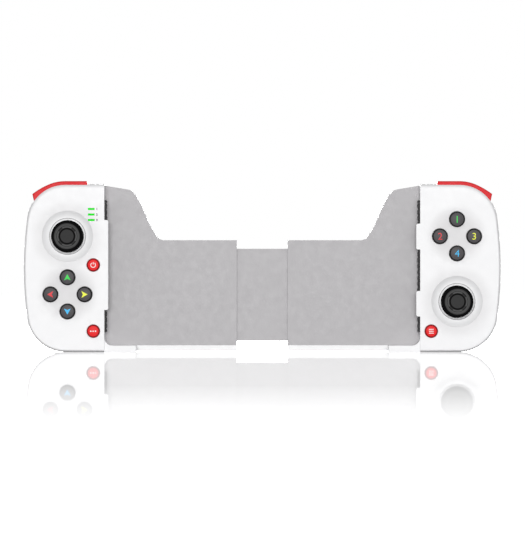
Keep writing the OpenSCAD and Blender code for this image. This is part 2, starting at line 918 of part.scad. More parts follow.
module button_membrane(side) {
    color(GREY)
        at_side(side) {
            slab(board_depth - membrane_t, board_depth)
                difference() {
                    union() {
                        translate([column_u, cluster_z(side)])
                            circle(r = membrane_rim);
                        for (p = keys(side)) {
                            translate(p)
                                circle(r = membrane_key);
                            translate([p[0] - membrane_web / 2, min(p[1], cluster_z(side))])
                                square([membrane_web, abs(p[1] - cluster_z(side))]);
                        }
                        translate([key_u, cluster_z(side) - membrane_web / 2])
                            square([column_u - key_u, membrane_web]);
                    }
                    for (p = posts)
                        translate(p)
                            circle(r = post_r + clear);
                    translate([slip - over, 0])
                        square([wall + over, grip_h]);
                    translate([column_u, stick_z(side)])
                        square(2 * (housing_half + clear), center = true);
                }
            for (p = concat(cluster(side), keys(side)))
                along_depth(p, stem_depth + slip)
                    cylinder(r1 = membrane_dome[0], r2 = membrane_dome[1],
                        h = board_depth - membrane_t - stem_depth);
        }
}

module battery_cell() {
    r = battery[1] / 2;
    color([0.55, 0.57, 0.6])
        at_side(LEFT)
            translate([battery_u + battery[0] / 2, board_depth + board_t + tip_gap + r, battery_z])
                linear_extrude(battery[2])
                    stadium(battery[0], battery[1]);
}

module charge_port() {
    color(STEEL)
        at_side(LEFT)
            translate([port_u, board_depth + board_t + port[1] / 2, clear]) {
                difference() {
                    linear_extrude(port[2])
                        stadium(port[0], port[1]);
                    translate([0, 0, -cut])
                        linear_extrude(port[2])
                            stadium(port[0] - 2 * port_wall, port[1] - 2 * port_wall);
                }
                translate([port_r - port[0] / 2, -port_tongue / 2, cut - clear])
                    cube([port[0] - 2 * port_r, port_tongue, port[2] - cut]);
            }
}

module light_pipes() {
    color([0.1, 0.82, 0.12])
        at_side(LEFT)
            light_places()
                translate([-light_l / 2, 0, -light_h / 2])
                    cube([light_l, wall + cut, light_h]);
}

module case_screws(side) {
    color(STEEL)
        at_side(side)
            for (p = posts) {
                along_depth(p, split_depth - screw_bite)
                    cylinder(r = screw_r, h = screw_bite + screw_grip + slip);
                along_depth(p, split_depth + screw_grip)
                    difference() {
                        cylinder(r = head_r, h = head_t);
                        for (a = [0, 90])
                            rotate(a)
                                translate([-head_slot[0] / 2, -head_slot[1] / 2, head_t - head_slot[2]])
                                    cube([head_slot[0], head_slot[1], head_slot[2] + cut]);
                    }
            }
}

// Sticks: a cap on a shaft, hung in a two-axis gimbal that can be pressed in
module at_stick(side) {
    at_side(side)
        translate([column_u, pivot_depth, stick_z(side)])
            children();
}

module frame_block(outer, inner, deep) {
    difference() {
        cube([2 * outer, 2 * deep, 2 * outer], center = true);
        cube([2 * inner, 2 * deep + cut, 2 * inner], center = true);
    }
}

module stick_housing(side) {
    color(STEEL)
        at_stick(side)
            difference() {
                translate([-housing_half, housing_top - pivot_depth, -housing_half])
                    cube([2 * housing_half, board_depth - housing_top, 2 * housing_half]);
                translate([sheet - housing_half, housing_top - pivot_depth + sheet, sheet - housing_half])
                    cube([2 * (housing_half - sheet), board_depth, 2 * (housing_half - sheet)]);
                along_depth([0, 0], -pivot_depth)
                    cylinder(r = housing_hole, h = pivot_depth);
            }
}

module stick_carrier(side) {
    color(DARK)
        at_stick(side)
            difference() {
                frame_block(carrier_half, carrier_in, carrier_deep);
                rotate([0, 90, 0])
                    cylinder(r = gimbal_pin_r + slip, h = 4 * carrier_half, center = true);
            }
}

module stick_yoke(side) {
    color(GREY)
        at_stick(side)
            difference() {
                union() {
                    frame_block(yoke_half, yoke_in, yoke_deep);
                    for (s = [-1, 1])
                        translate([s * (yoke_in + carrier_half) / 2, 0, 0])
                            rotate([0, 90, 0])
                                cylinder(r = gimbal_pin_r, h = carrier_half - yoke_in - tip_gap,
                                    center = true);
                }
                cylinder(r = gimbal_pin_r + slip, h = 4 * yoke_half, center = true);
            }
}

module stick_stem(side) {
    color(STEEL)
        at_stick(side) {
            sphere(r = hub_r);
            cylinder(r = gimbal_pin_r, h = 2 * yoke_half - tip_gap, center = true);
            translate([0, shaft_end - pivot_depth, 0])
                rotate([-90, 0, 0])
                    cylinder(r = shaft_r, h = pivot_depth - shaft_end);
        }
}

function dome_arc(r, a0, a1) = [
    for (i = [0:dome_n]) let (a = a0 + (a1 - a0) * i / dome_n) [r * sin(a), -r * cos(a)]
];

module stick_cap(side) {
    top = -stick_proud - pivot_depth;
    floor = top + cap_hollow;
    under = top + cap_thick;
    socket_mouth = socket_end - pivot_depth;
    socket_roof = shaft_end - pivot_depth - snug;
    r = cap_d / 2;
    inner = dome_r - dome_t;
    color(DARK)
        at_stick(side)
            rotate([-90, 0, 0]) {
                rotate_extrude($fn = 96)
                    polygon(concat(
                        [[0, floor], [pad_disc_r, floor]],
                        [for (i = [0, 1]) [pad_disc_r + pad_groove[i], floor + pad_groove[2]]],
                        [[r - rim_w - rim_edge, top + rim_lip], [r - rim_w, top]],
                        arc([r - rim_edge, top + rim_edge], rim_edge, -90, 0, 4),
                        [[r, under - cap_skirt[1]], [r - cap_skirt[0], under - cap_skirt[2]]],
                        [[neck_r + neck_flare, under]],
                        dome_arc(dome_r, asin(neck_r / dome_r), dome_edge),
                        dome_arc(inner, dome_edge, asin(socket_boss_r / inner)),
                        [[socket_boss_r, socket_mouth], [shaft_r + snug, socket_mouth]],
                        [[shaft_r + snug, socket_roof], [0, socket_roof]]
                    ));
                translate([0, 0, top + ridge_sink])
                    thumb_ridges();
            }
}

// Ring of ridges under the thumb, broken at the diagonals
module thumb_ridges() {
    difference() {
        cylinder(r = ridge_r[1], h = cap_hollow);
        translate([0, 0, -cut])
            cylinder(r = ridge_r[0], h = cap_hollow + 2 * cut);
        for (a = [45, 135])
            rotate(a)
                cube([2 * ridge_r[1] + cut, ridge_break, 2 * (cap_hollow + cut)], center = true);
    }
}

// Buttons: a crowned cap on a flange and a stem
module plunger(place, r, proud) {
    along_depth(place)
        rotate_extrude()
            polygon(concat(
                [for (i = [0:crown_n]) let (t = i / crown_n)
                    [(r - button_edge) * t, -proud - button_crown * (1 - t * t)]],
                arc([r - button_edge, button_edge - proud], button_edge, -60, 0, 4),
                [[r, flange[0]], [r + flange_w, flange[0]], [r + flange_w, flange[1]]],
                [[r * stem_share, flange[1]], [r * stem_share, stem_depth], [0, stem_depth]]
            ));
}

module large_button(side, a) {
    place = [column_u, cluster_z(side)] + button_pitch * [cos(a), sin(a)];
    color(DARK)
        at_side(side)
            plunger(place, button_d / 2, button_proud);
}

module small_key(side, z) {
    color(RED)
        at_side(side)
            plunger([key_u, z], key_d / 2, key_proud);
}

// Bumpers: a bevelled strip over the top edge and outer corner, rocking on a pin at its inner end
function bumper_n(a) =
    let (t = max(0, 1 - (a - bumper_end - bumper_lean) / bumper_swell))
    bumper_proud + (bumper_end_proud - bumper_proud) * t * t;

function round_corner(n, a, d) = [
    upper_c[0] + (corner_r + n) * cos(a), d, upper_c[1] + (corner_r + n) * sin(a)
];

// Its outer end leans from the outline to the full height
function bumper_ring(d, bevel) =
    let (lean_end = bumper_end + bumper_lean)
    concat(
        [round_corner(-bevel, bumper_end, d)],
        [for (i = [0:arc_n - 1]) let (a = lean_end + (90 - lean_end) * i / (arc_n - 1))
            round_corner(bumper_n(a) - bevel, a, d)],
        [[bumper_u + bumper_slant * bumper_proud, d, grip_h + bumper_proud - bevel]],
        [[bumper_u, d, grip_h - bumper_deep]],
        [for (i = [arc_n:-1:0]) let (a = bumper_end + (90 - bumper_end) * i / arc_n)
            round_corner(-bumper_deep, a, d)]
    );

module bumper(side) {
    color(RED)
        at_side(side)
            difference() {
                union() {
                    strip_loft([
                        bumper_ring(bumper_d[0], bumper_bevel),
                        bumper_ring(bumper_d[0] + bumper_bevel / 3, bumper_bevel / 3),
                        bumper_ring(bumper_d[0] + bumper_bevel, 0),
                        bumper_ring(bumper_d[1] - bumper_bevel, 0),
                        bumper_ring(bumper_d[1] - bumper_bevel / 3, bumper_bevel / 3),
                        bumper_ring(bumper_d[1], bumper_bevel)
                    ]);
                    along_depth(bumper_pin, lug_d[0])
                        cylinder(r = bumper_lug, h = lug_d[1] - lug_d[0]);
                    translate([bumper_pin[0] - bumper_lug, lug_d[0], bumper_pin[1]])
                        cube([2 * bumper_lug, lug_d[1] - lug_d[0], grip_h - bumper_deep / 2 - bumper_pin[1]]);
                }
                along_depth(bumper_pin)
                    cylinder(r = bumper_pin_r + slip, h = split_depth);
            }
}

module bumper_pin_rod(side) {
    color(STEEL)
        at_side(side)
            along_depth(bumper_pin, pin_seat + slip)
                cylinder(r = bumper_pin_r, h = split_depth + well_front - tip_gap - pin_seat);
}

// Triggers: a swept lever that falls to a finger lip, swinging on a pin across the well
function trigger_top(u) =
    upper_c[1] + sqrt(pow(corner_r + trigger_proud, 2) - pow(max(0, u - corner_u), 2));

function trigger_ring(u, drop) =
    let (top = trigger_top(u) - drop)
    concat(
        [for (i = [0:trigger_n]) let (t = i / trigger_n)
            [u, trigger_d + trigger_l * t, top - trigger_fall * pow(sin(90 * t), 2)]],
        [for (i = [trigger_n:-1:0]) let (t = i / trigger_n, keep = trigger_skirt - trigger_fall - trigger_lip)
            [u, trigger_d + trigger_heel + (trigger_l - trigger_heel) * t,
                top + drop - trigger_skirt + keep * pow(t, trigger_curl)]]
    );

module trigger(side) {
    color(RED)
        at_side(side)
            difference() {
                strip_loft(concat(
                    [trigger_ring(trigger_u, trigger_edge)],
                    [for (i = [0:trigger_steps])
                        trigger_ring(trigger_u + trigger_edge
                            + (trigger_w - 2 * trigger_edge) * i / trigger_steps, 0)],
                    [trigger_ring(trigger_end, trigger_edge)]
                ));
                trigger_axis(trigger_pin_r + slip, trigger_u - cut, ear_u);
                translate([ear_u - ear_t / 2 - play, trigger_d - cut, 0])
                    cube([
                        ear_t + 2 * play,
                        trigger_pin_in + ear_r + ear_room[0] + cut,
                        trigger_pin[1] + ear_r + ear_room[1]
                    ]);
            }
}

module trigger_pin_rod(side) {
    color(STEEL)
        at_side(side)
            trigger_axis(trigger_pin_r, trigger_u - play - well_side + slip, ear_u + ear_t / 2);
}

module left_front_shell() front_shell(LEFT);
module right_front_shell() front_shell(RIGHT);
module left_rear_shell() rear_shell(LEFT);
module right_rear_shell() rear_shell(RIGHT);
module left_phone_plate() phone_plate(LEFT);
module right_phone_plate() phone_plate(RIGHT);
module left_bridge_cover() bridge_cover(LEFT);
module right_bridge_cover() bridge_cover(RIGHT);
module left_return_spring() return_spring(LEFT);
module right_return_spring() return_spring(RIGHT);
module left_jaw_pad() jaw_pad(LEFT);
module right_jaw_pad() jaw_pad(RIGHT);
module left_circuit_board() circuit_board(LEFT);
module right_circuit_board() circuit_board(RIGHT);
module left_button_membrane() button_membrane(LEFT);
module right_button_membrane() button_membrane(RIGHT);
module left_case_screws() case_screws(LEFT);
module right_case_screws() case_screws(RIGHT);
module left_stick_housing() stick_housing(LEFT);
module left_stick_carrier() stick_carrier(LEFT);
module left_stick_yoke() stick_yoke(LEFT);
module left_stick_stem() stick_stem(LEFT);
module left_stick_cap() stick_cap(LEFT);
module right_stick_housing() stick_housing(RIGHT);
module right_stick_carrier() stick_carrier(RIGHT);
module right_stick_yoke() stick_yoke(RIGHT);
module right_stick_stem() stick_stem(RIGHT);
module right_stick_cap() stick_cap(RIGHT);
module up_button() large_button(LEFT, 90);
module down_button() large_button(LEFT, 270);
module left_button() large_button(LEFT, 0);
module right_button() large_button(LEFT, 180);
module power_button() small_key(LEFT, power_z);
module select_button() small_key(LEFT, key_z);
module north_button() large_button(RIGHT, 90);
module south_button() large_button(RIGHT, 270);
module west_button() large_button(RIGHT, 180);
module east_button() large_button(RIGHT, 0);
module start_button() small_key(RIGHT, key_z);
module left_bumper() bumper(LEFT);
module right_bumper() bumper(RIGHT);
module left_bumper_pin() bumper_pin_rod(LEFT);
module right_bumper_pin() bumper_pin_rod(RIGHT);
module left_trigger() trigger(LEFT);
module right_trigger() trigger(RIGHT);
module left_trigger_pin() trigger_pin_rod(LEFT);
module right_trigger_pin() trigger_pin_rod(RIGHT);

left_front_shell();
right_front_shell();
left_rear_shell();
right_rear_shell();
left_phone_plate();
right_phone_plate();
left_bridge_cover();
right_bridge_cover();
slide_plate();
left_return_spring();
right_return_spring();
flex_cable();
left_jaw_pad();
right_jaw_pad();
left_circuit_board();
right_circuit_board();
left_button_membrane();
right_button_membrane();
battery_cell();
charge_port();
light_pipes();
left_case_screws();
right_case_screws();
left_stick_housing();
left_stick_carrier();
left_stick_yoke();
left_stick_stem();
left_stick_cap();
right_stick_housing();
right_stick_carrier();
right_stick_yoke();
right_stick_stem();
right_stick_cap();
up_button();
down_button();
left_button();
right_button();
power_button();
select_button();
north_button();
south_button();
west_button();
east_button();
start_button();
left_bumper();
right_bumper();
left_bumper_pin();
right_bumper_pin();
left_trigger();
right_trigger();
left_trigger_pin();
right_trigger_pin();
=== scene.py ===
"""Looks of a stretch game controller for a phone, dressed around its fixed CAD frame.

Units are metres.
"""

import json
import math

import bmesh
import bpy
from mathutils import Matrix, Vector


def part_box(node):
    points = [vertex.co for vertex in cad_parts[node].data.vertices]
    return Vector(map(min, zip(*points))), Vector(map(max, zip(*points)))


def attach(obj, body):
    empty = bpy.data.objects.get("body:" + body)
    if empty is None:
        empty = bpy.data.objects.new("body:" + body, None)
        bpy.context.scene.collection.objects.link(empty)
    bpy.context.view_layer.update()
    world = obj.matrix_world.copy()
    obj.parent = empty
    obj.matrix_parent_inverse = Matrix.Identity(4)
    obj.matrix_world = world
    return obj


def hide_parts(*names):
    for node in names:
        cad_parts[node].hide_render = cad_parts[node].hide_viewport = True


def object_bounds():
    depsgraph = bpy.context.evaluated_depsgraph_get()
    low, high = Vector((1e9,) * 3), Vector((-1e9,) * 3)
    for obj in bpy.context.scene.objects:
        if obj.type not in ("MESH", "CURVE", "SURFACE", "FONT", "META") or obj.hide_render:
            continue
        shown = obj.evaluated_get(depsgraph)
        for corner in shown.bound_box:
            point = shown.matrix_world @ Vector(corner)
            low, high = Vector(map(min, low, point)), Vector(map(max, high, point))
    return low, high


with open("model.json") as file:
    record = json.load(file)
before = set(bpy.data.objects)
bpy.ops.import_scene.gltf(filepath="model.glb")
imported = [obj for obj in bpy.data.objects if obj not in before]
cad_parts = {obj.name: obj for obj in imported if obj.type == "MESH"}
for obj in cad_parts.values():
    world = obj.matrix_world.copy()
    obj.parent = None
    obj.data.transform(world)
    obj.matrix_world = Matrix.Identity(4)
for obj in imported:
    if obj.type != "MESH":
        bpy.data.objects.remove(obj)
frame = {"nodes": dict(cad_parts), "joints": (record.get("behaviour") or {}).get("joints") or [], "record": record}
cad_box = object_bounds()
nodes = frame["nodes"]

MM = 0.001


def srgb(red, green, blue):
    """Linear colour from the 0 to 255 values that a screen shows."""
    parts = []
    for value in (red, green, blue):
        share = value / 255
        parts.append(share / 12.92 if share <= 0.04045 else ((share + 0.055) / 1.055) ** 2.4)
    return (*parts, 1.0)


def tinted(colour, factor):
    return (*(min(1.0, part * factor) for part in colour[:3]), 1.0)


# Picture frame of the photograph and the real size that it covers at the front faces
PICTURE = (525, 550)
PIXEL = 0.5 * MM
FACE_Y = -13 * MM
VIEW_CENTRE = (0.12 * MM, 38.5 * MM)
VIEW_DISTANCE = 2.2
VIEW_REACH = 50
SENSOR = 36.0

# Moulded finish: range and detail of the noise, clouds of tone, patches of gloss, and grain
NOISE_MIDDLE = (0.3, 0.7)
FINE_DETAIL = 3.0
CLOUD = 12 * MM
GLOSS_PATCH = 3 * MM
GLOSS_SPREAD = 0.12
GRAIN_STRENGTH = 0.6

# Y of the surface normal where a button's front ends and where the painted shade on its side begins
SHADED_SIDE_NORMALS = (-0.972, -0.92)

# Drawn steel: lines along X, the share of gloss either way, and their relief
STEEL_STRETCH = (1.0, 12.0, 12.0)
STEEL_LINE = 2 * MM
STEEL_SPREAD = 0.3
STEEL_STRENGTH = 0.3
STEEL_RELIEF = 0.004 * MM

# Circuit board: traces that show paler through the solder mask
TRACE_PITCH = 6 * MM
TRACE_TINTS = (1.25, 1.8)
BOARD_ROUGHNESS = 0.35

# Tones of a stick's rubber by the depth below its rim, part wear and part painted light: worn bowl and ridges
# paler with painted highlights, thumb disc, and groove darker with painted shade
STICK_WEAR_AND_SHADING_TONES = [
    (0.03 * MM, 9),
    (0.09 * MM, 70),
    (0.3 * MM, 80),
    (0.5 * MM, 88),
    (0.58 * MM, 36),
    (0.8 * MM, 50),
    (0.88 * MM, 62),
    (0.94 * MM, 60),
    (1.05 * MM, 22),
    (1.2 * MM, 9),
]

# Radii between which a stick's worn and painted-light tones give way to the plain rubber of its rim
STICK_RIM = (6.4 * MM, 6.6 * MM)
STICK_BLACK = srgb(9, 9, 10)

# Painted shade in the grooves and seams of the shells, which also stands for dirt there: its reach, and how open a
# place is where it is thick and where it ends
CREASE_SHADE_REACH = 0.5 * MM
CREASE_SHADE_SAMPLES = 8
CREASE_SHADE_OPEN = (0.2, 0.85)

# Painted shade on the faces, greyer in soft rings round the buttons and dishes: nodes in its middle, radii and
# depths over which it fades, and strength
PAINTED_SHADE_GREY = srgb(220, 219, 220)
BUTTONS_PAINTED_SHADE = ((7.0 * MM, 17.0 * MM), (0.8 * MM, 1.2 * MM), 1.0)
DISH_PAINTED_SHADE = ((12.5 * MM, 20.0 * MM), (0.02 * MM, 0.12 * MM), 0.55)
PAINTED_SHADE_PLACES = [
    (("left_button", "right_button"), *BUTTONS_PAINTED_SHADE),
    (("west_button", "east_button"), *BUTTONS_PAINTED_SHADE),
    (("left_stick_cap",), *DISH_PAINTED_SHADE),
    (("right_stick_cap",), *DISH_PAINTED_SHADE),
]

# Meshes: largest angle of a smooth edge, and the distance at which corners are one
SMOOTH_ANGLE = math.radians(32)
WELD_DISTANCE = 0.001 * MM
MARK_WELD = 0.0001 * MM

# Jaw pads: rounding of the edges, depth, pitch and sharpness of the grooves, and steps of the mesh
PAD_EDGE = 0.35 * MM
PAD_RIB = 0.35 * MM
PAD_PITCH = 3.0 * MM
PAD_SHARPNESS = 4
PAD_ROWS = 12
PAD_SIDES = 6

# Dust rings: inner and outer radius round a stick's pivot, and angles from its axis
DUST_RADII = (8.3 * MM, 8.5 * MM)
DUST_ANGLES = (41, 86)
DUST_STEPS = 12
DUST_SIDES = 72

# Crowned tops: how far they fall, the radius at which they have fallen so far, and their bend
CROWN = 0.3 * MM
BUTTON_FLAT = 3.1 * MM
BUTTON_BEND = CROWN / BUTTON_FLAT ** 2
KEY_FLAT = 2.5 * MM
KEY_BEND = CROWN / KEY_FLAT ** 2

# Printed marks: height over the top, thickness, and longest edge of the mesh
INK_RAISE = 0.02 * MM
INK_DEEP = 0.06 * MM
INK_STEP = 0.35 * MM
INK_ROUNDS = 6
INKS = {
    "green": srgb(76, 222, 96),
    "red": srgb(228, 74, 80),
    "yellow": srgb(246, 252, 84),
    "blue": srgb(84, 196, 250),
    "white": srgb(250, 246, 244),
    "grey": srgb(44, 46, 49),
}

# Marks of the buttons: arrows with their direction in degrees, and numbers
ARROWS = [
    ("up_button", 90, "green"),
    ("left_button", 180, "red"),
    ("right_button", 0, "yellow"),
    ("down_button", 270, "blue"),
]
ARROW_TIP = 1.6 * MM
ARROW_BASE = 1.45 * MM
ARROW_HALF = 1.7 * MM
ARROW_NOTCH = 0.7 * MM
NUMBERS = [
    ("north_button", "1", "green"),
    ("west_button", "2", "red"),
    ("east_button", "3", "yellow"),
    ("south_button", "4", "blue"),
]
NUMBER_HEIGHT = 3.4 * MM
CURVE_STEPS = 6

# Marks of the keys: half width, line, and the open ring, bars and dots
KEY_MARK = 1.2 * MM
KEY_LINE = 0.36 * MM
POWER_ANGLES = (125, 415)
POWER_STEPS = 28
POWER_BAR_UP = 0.75 * KEY_MARK
MENU_PITCH = 0.8 * KEY_MARK
DOT_SIDES = 24

# Numbers beside the light bars: count, pitch, height, weight of the strokes, and distance from the bars
LIGHT_COUNT = 3
LIGHT_PITCH = 2.75 * MM
LIGHT_DIGIT = 1.15 * MM
LIGHT_DIGIT_WEIGHT = 0.04
LIGHT_DIGIT_IN = 2.8 * MM

# Studio: light of the room, and a floor that looks paler than it is lit, under a fading mirror image
ROOM_LIGHT = 0.3
FLOOR_COLOUR = srgb(176, 176, 177)
FLOOR_ROUGHNESS = 0.8
FLOOR_HALF = 6.0
FLOOR_GAP = 0.05 * MM
FLOOR_LIFT = 0.92
FLOOR_MIRROR = 0.48
FLOOR_NEAR = 0.68
FLOOR_FAR = 1.2
MIRROR_ROUGHNESS = 0.01
WHITE = (1, 1, 1, 1)

# Lamps: name, place, size and power in watts
LAMP_TARGET = (0, 0, 0.04)
LAMPS = [
    ("key", (-0.14, -2.7, 0.32), (0.9, 0.6), 40.0),
    ("fill", (0.34, -2.7, 0.26), (0.9, 0.6), 13.5),
    ("back", (0.0, 2.7, 0.3), (1.6, 1.0), 52.0),
]


# Shader nodes


def map_range(tree, source, start, stop, low=0.0, high=1.0, shape="LINEAR"):
    """A number that goes from low to high while the source goes from start to stop."""
    mapped = tree.nodes.new("ShaderNodeMapRange")
    mapped.interpolation_type = shape
    mapped.inputs["From Min"].default_value = start
    mapped.inputs["From Max"].default_value = stop
    mapped.inputs["To Min"].default_value = low
    mapped.inputs["To Max"].default_value = high
    tree.links.new(source, mapped.inputs["Value"])
    return mapped.outputs["Result"]


def combined(tree, operation, first, second):
    """One number from two."""
    result = tree.nodes.new("ShaderNodeMath")
    result.operation = operation
    tree.links.new(first, result.inputs[0])
    tree.links.new(second, result.inputs[1])
    return result.outputs["Value"]


def vector_math(tree, operation, source, fixed=None):
    """The outputs of an operation on a vector, alone or with a fixed one."""
    result = tree.nodes.new("ShaderNodeVectorMath")
    result.operation = operation
    tree.links.new(source, result.inputs[0])
    if fixed:
        result.inputs[1].default_value = fixed
    return result.outputs


def y_of(tree, source):
    parts = tree.nodes.new("ShaderNodeSeparateXYZ")
    tree.links.new(source, parts.inputs["Vector"])
    return parts.outputs["Y"]


def colour_mix(tree, first, second, factor):
    """A colour that goes from the first to the second. Each is fixed or comes from another node."""
    mix = tree.nodes.new("ShaderNodeMix")
    mix.data_type = "RGBA"
    for name, colour in (("A", first), ("B", second)):
        if isinstance(colour, tuple):
            mix.inputs[name].default_value = colour
        else:
            tree.links.new(colour, mix.inputs[name])
    tree.links.new(factor, mix.inputs["Factor"])
    return mix.outputs["Result"]


def noise(tree, vector, size, detail=2.0):
    texture = tree.nodes.new("ShaderNodeTexNoise")
    texture.inputs["Scale"].default_value = 1 / size
    texture.inputs["Detail"].default_value = detail
    tree.links.new(vector, texture.inputs["Vector"])
    return texture.outputs["Fac"]


def set_roughness(tree, shader, source, roughness, share):
    """A roughness that a noise moves by a share either way."""
    low = roughness * (1 - share)
    high = min(1.0, roughness * (1 + share))
    tree.links.new(map_range(tree, source, *NOISE_MIDDLE, low, high), shader.inputs["Roughness"])


def set_relief(tree, shader, source, strength, height):
    bump = tree.nodes.new("ShaderNodeBump")
    bump.inputs["Strength"].default_value = strength
    bump.inputs["Distance"].default_value = height
    tree.links.new(source, bump.inputs["Height"])
    tree.links.new(bump.outputs["Normal"], shader.inputs["Normal"])


def seen_directly(tree, otherwise, strength):
    """A strength for what the camera, gloss or glass sees, and another for the light on everything else."""
    path = tree.nodes.new("ShaderNodeLightPath")
    total = path.outputs["Is Camera Ray"]
    for name in ("Is Glossy Ray", "Is Transmission Ray"):
        total = combined(tree, "MAXIMUM", total, path.outputs[name])
    return map_range(tree, total, 0.0, 1.0, otherwise, strength)


# Materials


def new_material(name):
    material = bpy.data.materials.new(name)
    material.use_nodes = True
    tree = material.node_tree
    return material, tree, tree.nodes["Principled BSDF"]


def moulded(
    name, colour, roughness, grain=0.25 * MM, relief=0.006 * MM, variation=0.03, specular=0.5, rim=None
):
    """Moulded plastic or rubber: a fine spark-eroded grain, uneven gloss and a slight change of tone.

    A darker rim colour, painted shade, goes on the faces that turn away from the front, such as the sides of a
    button.
    """
    material, tree, shader = new_material(name)
    coordinates = tree.nodes.new("ShaderNodeTexCoord")
    place = coordinates.outputs["Object"]
    cloud = noise(tree, place, CLOUD)
    tone = colour_mix(tree, tinted(colour, 1 - variation), tinted(colour, 1 + variation), cloud)
    # Painted shade: the rim colour darkens the faces that turn away from the front
    if rim:
        side = map_range(tree, y_of(tree, coordinates.outputs["Normal"]), *SHADED_SIDE_NORMALS)
        tone = colour_mix(tree, tone, rim, side)
    tree.links.new(tone, shader.inputs["Base Color"])
    set_roughness(tree, shader, noise(tree, place, GLOSS_PATCH, FINE_DETAIL), roughness, GLOSS_SPREAD)
    set_relief(tree, shader, noise(tree, place, grain, FINE_DETAIL), GRAIN_STRENGTH, relief)
    shader.inputs["Specular IOR Level"].default_value = specular
    return material


def colouring(material):
    """A moulded material's tree and coordinates, and the socket that takes its colour."""
    tree = material.node_tree
    return tree, tree.nodes["Texture Coordinate"], tree.nodes["Principled BSDF"].inputs["Base Color"]


def worn_and_shaded_tone(tree, vector, deep):
    """The tone of a stick by depth, on a cap of a given depth: wear with painted highlights and painted shade."""
    worn_and_shaded = tree.nodes.new("ShaderNodeValToRGB")
    marks = worn_and_shaded.color_ramp.elements
    for mark, (depth, level) in zip((marks[0], marks[-1]), (STICK_WEAR_AND_SHADING_TONES[0], STICK_WEAR_AND_SHADING_TONES[-1])):
        mark.position = depth / deep
        mark.color = srgb(level, level, level)
    for depth, level in STICK_WEAR_AND_SHADING_TONES[1:-1]:
        marks.new(depth / deep).color = srgb(level, level, level)
    tree.links.new(y_of(tree, vector), worn_and_shaded.inputs["Fac"])
    return worn_and_shaded.outputs["Color"]


def stick_rubber(name):
    """Black rubber that thumbs have worn paler in its bowl, on its ridges and on its disc, where the paler tones
    are also painted highlights, with painted shade in its groove.
    """
    material = moulded(
        name, STICK_BLACK, roughness=0.6, grain=0.3 * MM, relief=0.012 * MM, variation=0.08, specular=0.02
    )
    tree, coordinates, base = colouring(material)
    share = coordinates.outputs["Generated"]
    low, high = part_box("left_stick_cap")
    worn_and_shaded = worn_and_shaded_tone(tree, share, high.y - low.y)
    from_axis = vector_math(tree, "SUBTRACT", share, (0.5, 0.5, 0.5))["Vector"]
    across = vector_math(tree, "MULTIPLY", from_axis, (1, 0, 1))["Vector"]
    radius = vector_math(tree, "LENGTH", across)["Value"]
    rim = map_range(tree, radius, *(edge / (high.x - low.x) for edge in STICK_RIM))
    # Painted highlights and painted shade by depth, giving way to plain rubber at the rim
    tree.links.new(colour_mix(tree, worn_and_shaded, base.links[0].from_socket, rim), base)
    return material


def middle_of(names):
    """Middle of a group of nodes on the plane of the front faces."""
    lows, highs = zip(*(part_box(name) for name in names))
    x = (min(low.x for low in lows) + max(high.x for high in highs)) / 2
    z = (min(low.z for low in lows) + max(high.z for high in highs)) / 2
    return (x, FACE_Y, z)


def outside_painted_shade(tree, place):
    """1 where no shade is painted, falling softly on the front faces round the buttons and dishes, where a soft
    shade is painted.
    """
    y = y_of(tree, place)
    unshaded = []
    for names, radii, depths, strength in PAINTED_SHADE_PLACES:
        reach = vector_math(tree, "DISTANCE", place, middle_of(names))["Value"]
        beside = map_range(tree, reach, *radii, low=1 - strength, shape="SMOOTHSTEP")
        below = map_range(tree, y, *(FACE_Y + depth for depth in depths), shape="SMOOTHSTEP")
        unshaded.append(combined(tree, "MAXIMUM", beside, below))
    least = unshaded[0]
    for other in unshaded[1:]:
        least = combined(tree, "MINIMUM", least, other)
    return least


def shell_plastic(name, colour, crease_shade_and_dirt):
    """Moulded shell with painted shade: greyer in soft rings round the buttons and dishes of its face, and darker
    in its grooves and seams, which also stands for dirt there.
    """
    material = moulded(name, colour, roughness=0.4, variation=0.008, specular=0.25)
    tree, coordinates, base = colouring(material)
    unshaded = outside_painted_shade(tree, coordinates.outputs["Object"])
    # Painted shade: greyer in soft rings round the buttons and dishes
    tone = colour_mix(tree, PAINTED_SHADE_GREY, base.links[0].from_socket, unshaded)
    # Painted shade, also standing for dirt: darker where ambient occlusion finds grooves, seams and gaps
    crease_shade = tree.nodes.new("ShaderNodeAmbientOcclusion")
    crease_shade.samples = CREASE_SHADE_SAMPLES
    crease_shade.only_local = True
    crease_shade.inputs["Distance"].default_value = CREASE_SHADE_REACH
    away_from_creases = map_range(tree, crease_shade.outputs["AO"], *CREASE_SHADE_OPEN)
    tree.links.new(colour_mix(tree, crease_shade_and_dirt, tone, away_from_creases), base)
    return material


def metal(name, colour, roughness):
    """Drawn or stamped steel with fine lines along one direction."""
    material, tree, shader = new_material(name)
    coordinates = tree.nodes.new("ShaderNodeTexCoord")
    stretch = tree.nodes.new("ShaderNodeMapping")
    stretch.inputs["Scale"].default_value = STEEL_STRETCH
    tree.links.new(coordinates.outputs["Object"], stretch.inputs["Vector"])
    lines = noise(tree, stretch.outputs["Vector"], STEEL_LINE)
    set_roughness(tree, shader, lines, roughness, STEEL_SPREAD)
    set_relief(tree, shader, lines, STEEL_STRENGTH, STEEL_RELIEF)
    shader.inputs["Base Color"].default_value = colour
    shader.inputs["Metallic"].default_value = 1.0
    return material


